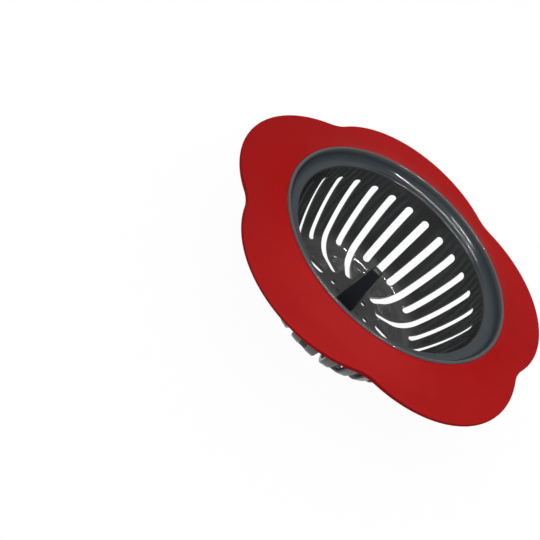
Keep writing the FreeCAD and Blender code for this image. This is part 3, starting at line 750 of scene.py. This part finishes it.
class Shader:
    """Nodes of a new material or world: they are added by type, and their sockets set or linked by name."""

    def __init__(self, owner):
        owner.use_nodes = True
        self.owner = owner
        self.tree = owner.node_tree
        self.tree.nodes.clear()

    def add(self, kind, sockets=None, **settings):
        """A node with its settings, and each socket set to a value or linked to another socket."""
        node = self.tree.nodes.new(kind)
        for key, value in settings.items():
            setattr(node, key, value)
        for key, value in (sockets or {}).items():
            socket = node.inputs[key]
            if isinstance(value, bpy.types.NodeSocket):
                self.tree.links.new(value, socket)
            else:
                socket.default_value = (*value, 1) if socket.type == "RGBA" else value
        return node

    def place(self):
        """Object coordinates in metres."""
        return self.add("ShaderNodeTexCoord").outputs["Object"]

    def height(self, place):
        """Third coordinate of a place or heading."""
        return self.add("ShaderNodeSeparateXYZ", {"Vector": place}).outputs["Z"]

    def noise(self, place, scale, detail=3.0, roughness=0.5):
        """Cloudy noise round 0.5, where scale is in clouds per metre."""
        sockets = {"Vector": place, "Scale": scale, "Detail": detail, "Roughness": roughness}
        return self.add("ShaderNodeTexNoise", sockets).outputs["Fac"]

    def between(self, amount, low, high, first=0.0, last=1.0):
        """Carries an amount from the range first to last to the range low to high, and stops at its ends."""
        sockets = {"Value": amount, "From Min": first, "From Max": last, "To Min": low, "To Max": high}
        return self.add("ShaderNodeMapRange", sockets).outputs["Result"]

    def math(self, operation, first, second):
        """One sum, product or comparison of two amounts."""
        return self.add("ShaderNodeMath", {0: first, 1: second}, operation=operation).outputs[0]

    def along(self, place, direction):
        """How far a place or heading lies along a direction."""
        node = self.add("ShaderNodeVectorMath", {0: place, 1: direction}, operation="DOT_PRODUCT")
        return node.outputs["Value"]

    def blend(self, amount, first, second):
        """Mixes two colours, or the colours of two sockets."""
        mix = self.add("ShaderNodeMix", {"Factor": amount, 6: first, 7: second}, data_type="RGBA")
        return mix.outputs[2]

    def cover(self, under, colour, amount, none, full):
        """Covers a colour with another one, more and more as the amount goes from none to full."""
        return self.blend(self.between(amount, 0.0, 1.0, none, full), under, colour)

    def bump(self, height, distance, strength=1.0, under=None):
        """Normal of a surface that a height raises, on top of the bump under it."""
        sockets = {"Height": height, "Distance": distance, "Strength": strength}
        if under is not None:
            sockets["Normal"] = under
        return self.add("ShaderNodeBump", sockets).outputs["Normal"]

    def finish(self, surface):
        """Links the surface to the output, and gives the finished material or world."""
        world = isinstance(self.owner, bpy.types.World)
        self.add("ShaderNodeOutputWorld" if world else "ShaderNodeOutputMaterial", {"Surface": surface})
        return self.owner

    def plastic(self, tone, roughness, normal, ior, specular, tint=(1, 1, 1)):
        """The finished material of a moulding."""
        body = self.add("ShaderNodeBsdfPrincipled", {
            "Base Color": tone, "Roughness": roughness, "Normal": normal, "IOR": ior,
            "Specular IOR Level": specular, "Specular Tint": tint,
        })
        return self.finish(body.outputs["BSDF"])


def floor_rings(shader, sizes, place, level):
    """Height of the fine rings inside the sloping floor: ridges with straight sides, one every 1.4 mm.

    They are kept off the outside by the middle of the floor's thickness, and end before the shoulder.
    """
    half_pitch, ridge = 0.7 * MM, 0.2 * MM
    first, full, fading, last = 13 * MM, 16 * MM, 21.6 * MM, 22.6 * MM
    foot_inner = sizes.foot_outer - sizes.foot_width
    middle_high, middle_low = sizes.floor_rise + sizes.wall / 2, 1.0 * MM
    flat = shader.add("ShaderNodeVectorMath", {0: place, 1: (1, 1, 0)}, operation="MULTIPLY")
    reach = shader.add("ShaderNodeVectorMath", {0: flat.outputs["Vector"]}, operation="LENGTH")
    radius = reach.outputs["Value"]
    waves = shader.math("PINGPONG", radius, half_pitch)
    rings = shader.between(waves, 0.0, 1.0, half_pitch - ridge, half_pitch)
    middle = shader.between(radius, middle_high, middle_low, sizes.floor_flat, foot_inner)
    inside = shader.math("GREATER_THAN", level, middle)
    begin = shader.between(radius, 0.0, 1.0, first, full)
    end = shader.between(radius, 1.0, 0.0, fading, last)
    for mask in (inside, begin, end):
        rings = shader.math("MULTIPLY", rings, mask)
    return rings


def charcoal_gloss(sizes):
    """Glossy charcoal moulding with faint clouds, fine waves, rings and grain, and uneven gloss.

    By height the tone goes from a lighter floor, which is painted sheen, over plain wall and a cool grey
    collar, partly a painted cool reflection, to a lighter crest, which is a painted highlight.
    """
    shader = Shader(bpy.data.materials.new("charcoal_gloss"))
    place = shader.place()
    level = shader.height(place)
    top = sizes.height
    tone = shader.cover(sizes.dark, sizes.light, shader.noise(place, 90.0), none=0.35, full=0.65)
    # Painted sheen: floor and foot below 7.5 mm are lightened as if lit from above.
    tone = shader.cover(tone, sizes.painted_floor_sheen, level, none=7.5 * MM, full=2.5 * MM)
    # Cool grey-blue tone on the top 3.6 mm of the collar, partly a painted cool reflection.
    tone = shader.cover(tone, sizes.slate_and_cool_reflection, level, none=top - 3.6 * MM, full=top - 2.9 * MM)
    # Painted highlight: the top 1.6 mm of the lip are lightened as the lamps' shine on the crest.
    tone = shader.cover(tone, sizes.painted_crest_highlight, level, none=top - 1.6 * MM, full=top - 0.5 * MM)
    gloss = shader.between(shader.noise(place, 420.0), 0.06, 0.10, 0.3, 0.7)
    waved = shader.bump(shader.noise(place, 800.0, 1.0), distance=0.02 * MM, strength=0.4)
    ringed = shader.bump(floor_rings(shader, sizes, place, level), distance=0.08 * MM, under=waved)
    grain = shader.noise(place, 2600.0, 2.0)
    grained = shader.bump(grain, distance=0.05 * MM, strength=0.05, under=ringed)
    return shader.plastic(tone, gloss, grained, ior=1.5, specular=0.2, tint=(0.86, 0.95, 1.0))


def soft_red(rim):
    """Matte soft red with fine grain and slight clouds, with painted shade that deepens it towards one petal
    and darkens its edge.
    """
    shader = Shader(bpy.data.materials.new("soft_red"))
    place = shader.place()
    clouds = shader.noise(place, 45.0, 7.0, 0.72)
    painted_shade_side = shader.along(place, (-0.71, -0.71, 0))
    edge = shader.add("ShaderNodeAttribute", attribute_name=EDGE).outputs["Fac"]
    tone = shader.cover(rim.deep, rim.bright, clouds, none=0.3, full=0.7)
    # Painted shade: the red deepens towards one petal, where less light falls.
    tone = shader.cover(tone, rim.painted_shade_red, painted_shade_side, none=15 * MM, full=50 * MM)
    # Painted shade: the tone darkens over the last edge round to the outline.
    tone = shader.cover(tone, rim.edge, edge, none=0.75, full=0.15)
    grain = shader.noise(place, 3200.0, 3.0, 0.6)
    gloss = shader.between(grain, 0.48, 0.62, 0.3, 0.7)
    grained = shader.bump(grain, distance=0.06 * MM, strength=0.25)
    return shader.plastic(tone, gloss, grained, ior=1.45, specular=0.04)


def post_black(post):
    """Near-black moulding with a satin skin and faint draw marks along the post."""
    shader = Shader(bpy.data.materials.new("post_black"))
    place = shader.place()
    lift = 1.5
    lifted = tuple(min(1, lift * part) for part in post.black)
    tone = shader.blend(shader.noise(place, 260.0), post.black, lifted)
    gloss = shader.between(shader.noise(place, 900.0), 0.34, 0.48, 0.3, 0.7)
    stretched = shader.add("ShaderNodeMapping", {"Vector": place, "Scale": (1, 1, 0.08)})
    marks = shader.noise(stretched.outputs["Vector"], 2400.0, 2.0)
    marked = shader.bump(marks, distance=0.05 * MM, strength=0.06)
    return shader.plastic(tone, gloss, marked, ior=1.5, specular=0.2)


class STRAINER_OT_basket(bpy.types.Operator):
    """Adds the slotted basket"""

    bl_idname = "strainer.basket"
    bl_label = "Add basket"

    def execute(self, context):
        sizes, post = context.scene.strainer_basket, context.scene.strainer_post
        show(build_basket(sizes, post), "basket", charcoal_gloss(sizes))
        return {"FINISHED"}


class STRAINER_OT_rim(bpy.types.Operator):
    """Adds the soft petal rim"""

    bl_idname = "strainer.rim"
    bl_label = "Add rim"

    def execute(self, context):
        rim = context.scene.strainer_rim
        show(build_rim(rim, context.scene.strainer_basket), "petal_flange", soft_red(rim))
        return {"FINISHED"}


class STRAINER_OT_post(bpy.types.Operator):
    """Adds the grip post"""

    bl_idname = "strainer.post"
    bl_label = "Add grip post"

    def execute(self, context):
        post = context.scene.strainer_post
        show(build_post(post, context.scene.strainer_basket), "grip_post", post_black(post))
        return {"FINISHED"}


def seen_directly(shader):
    """1 for rays from the camera, mirror rays and rays through glass, 0 for rays that light the object."""
    rays = shader.add("ShaderNodeLightPath").outputs
    amount = rays["Is Camera Ray"]
    for name in ("Is Glossy Ray", "Is Transmission Ray"):
        amount = shader.math("MAXIMUM", amount, rays[name])
    return amount


def white_floor():
    """White floor that keeps a soft share of the object's shadow."""
    paper, white_share = 0.94, 0.965
    shader = Shader(bpy.data.materials.new("white_floor"))
    glow = shader.add("ShaderNodeEmission", {"Color": (1, 1, 1), "Strength": 1.0})
    plain = shader.add("ShaderNodeBsdfDiffuse", {"Color": (paper, paper, paper)})
    share = shader.between(seen_directly(shader), 0.0, white_share)
    mix = shader.add("ShaderNodeMixShader", {0: share, 1: plain.outputs[0], 2: glow.outputs[0]})
    return shader.finish(mix.outputs[0])


def studio_sky(stage):
    """World of a plain studio: white at the horizon, dim above it, bright overhead, with two wide windows.

    A window is brightest along its direction and fades to nothing between two cosines of the angle from it.
    """
    shader = Shader(bpy.data.worlds.new("studio_sky"))
    heading = shader.add("ShaderNodeTexCoord").outputs["Generated"]
    height = shader.height(heading)
    horizon_full, horizon_end, dome_start = 0.04, 0.10, 0.15
    dome = shader.between(height, stage.sky_low, stage.sky_top, dome_start, 1.0)
    horizon = shader.between(height, 1.0, 0.0, horizon_full, horizon_end)
    light = shader.math("MAXIMUM", dome, horizon)
    windows = (
        ((-0.61, 0.51, 0.61), stage.far_window, 0.76, 0.97),
        ((0.30, -0.72, 0.62), stage.front_window, 0.72, 0.95),
    )
    for towards, strongest, border, full in windows:
        window = shader.between(shader.along(heading, towards), 0.0, strongest, border, full)
        light = shader.math("ADD", light, window)
    back = shader.add("ShaderNodeBackground", {"Color": (1, 1, 1), "Strength": light})
    return shader.finish(back.outputs[0])


def add_floor(stage):
    """A flat disc of rings round the origin: z = 0, x = r cos a, y = r sin a."""
    columns = 96
    angles = math.tau * np.arange(columns) / columns
    radii = np.array([0.0, 0.2, 1.0, stage.floor_radius])
    work = Patchwork()
    work.add(turned(np.stack([radii, 0 * radii], axis=1), angles), wrap_columns=True)
    floor = new_object("floor", work.mesh("floor"))
    floor.data.materials.append(white_floor())


def soft_lamp(name, place, aim, width, depth, power):
    """A rectangular lamp that faces its aim."""
    data = bpy.data.lights.new(name, "AREA")
    data.shape = "RECTANGLE"
    data.size, data.size_y, data.energy = width, depth, power
    lamp = new_object(name, data)
    lamp.location = place
    lamp.rotation_mode = "QUATERNION"
    lamp.rotation_quaternion = (Vector(aim) - Vector(place)).to_track_quat("-Z", "Y")
    return lamp


def shine_tube(name, start, end, width, power):
    """A narrow level lamp between two points, which draws shine lines on gloss and adds no other light."""
    warm_white = (1.0, 0.93, 0.88)
    start, end = Vector(start), Vector(end)
    middle = (start + end) / 2
    tube = soft_lamp(name, middle, middle - Vector((0, 0, 1)), width, (end - start).length, power)
    heading = math.atan2(end.y - start.y, end.x - start.x)
    tube.rotation_quaternion = Quaternion((0, 0, 1), heading - math.pi / 2)
    tube.visible_diffuse = False
    tube.data.color = warm_white


def add_camera(stage):
    """The camera at its place, turned to its aim and rolled about its line of sight."""
    data = bpy.data.cameras.new("camera")
    data.lens = stage.lens
    data.sensor_width = 36.0
    data.clip_start = 0.01
    camera = new_object("camera", data)
    look = Vector(stage.camera_aim) - Vector(stage.camera_place)
    camera.location = stage.camera_place
    camera.rotation_mode = "QUATERNION"
    roll = Quaternion((0, 0, 1), stage.camera_roll)
    camera.rotation_quaternion = look.to_track_quat("-Z", "Y") @ roll
    bpy.context.scene.camera = camera


class STRAINER_OT_stage(bpy.types.Operator):
    """Adds the white floor, the soft light and the camera"""

    bl_idname = "strainer.stage"
    bl_label = "Add stage"

    def execute(self, context):
        stage = context.scene.strainer_stage
        add_floor(stage)
        context.scene.world = studio_sky(stage)
        aim = (0, 0, 0.02)
        key = soft_lamp("key_lamp", place=(0.24, -0.36, 1.25), aim=aim, width=1.2, depth=1.2, power=5.6)
        key.visible_glossy = False
        tube = {"width": 0.006, "power": 25.0}
        shine_tube("back_tube", start=(0.55, 0.30, 1.2), end=(-0.56, 0.46, 1.2), **tube)
        shine_tube("front_tube", start=(0.16, -0.54, 1.2), end=(-0.33, -0.60, 1.2), **tube)
        add_camera(stage)
        context.scene.view_settings.view_transform = "Standard"
        return {"FINISHED"}


OPERATORS = (STRAINER_OT_basket, STRAINER_OT_rim, STRAINER_OT_post, STRAINER_OT_stage)
SETTINGS = {
    "strainer_basket": BasketSettings,
    "strainer_rim": RimSettings,
    "strainer_post": PostSettings,
    "strainer_stage": StageSettings,
}


class STRAINER_PT_panel(bpy.types.Panel):
    """Lists the pieces and their settings"""

    bl_label = "Strainer"
    bl_idname = "STRAINER_PT_panel"
    bl_space_type = "VIEW_3D"
    bl_region_type = "UI"
    bl_category = "Strainer"

    def draw(self, context):
        for operator, group in zip(OPERATORS, SETTINGS):
            box = self.layout.box()
            box.operator(operator.bl_idname)
            settings = getattr(context.scene, group)
            for name in settings.__annotations__:
                box.prop(settings, name)


CLASSES = (*SETTINGS.values(), *OPERATORS, STRAINER_PT_panel)


def register():
    """Makes the classes known, and hangs the settings on the scene."""
    for each in CLASSES:
        bpy.utils.register_class(each)
    for name, group in SETTINGS.items():
        setattr(bpy.types.Scene, name, PointerProperty(type=group))


def unregister():
    """Takes back what register did."""
    for name in SETTINGS:
        delattr(bpy.types.Scene, name)
    for each in reversed(CLASSES):
        bpy.utils.unregister_class(each)


def main():
    """Adds all pieces and the stage."""
    register()
    bpy.ops.strainer.basket()
    bpy.ops.strainer.rim()
    bpy.ops.strainer.post()
    bpy.ops.strainer.stage()


if __name__ == "__main__":
    main()
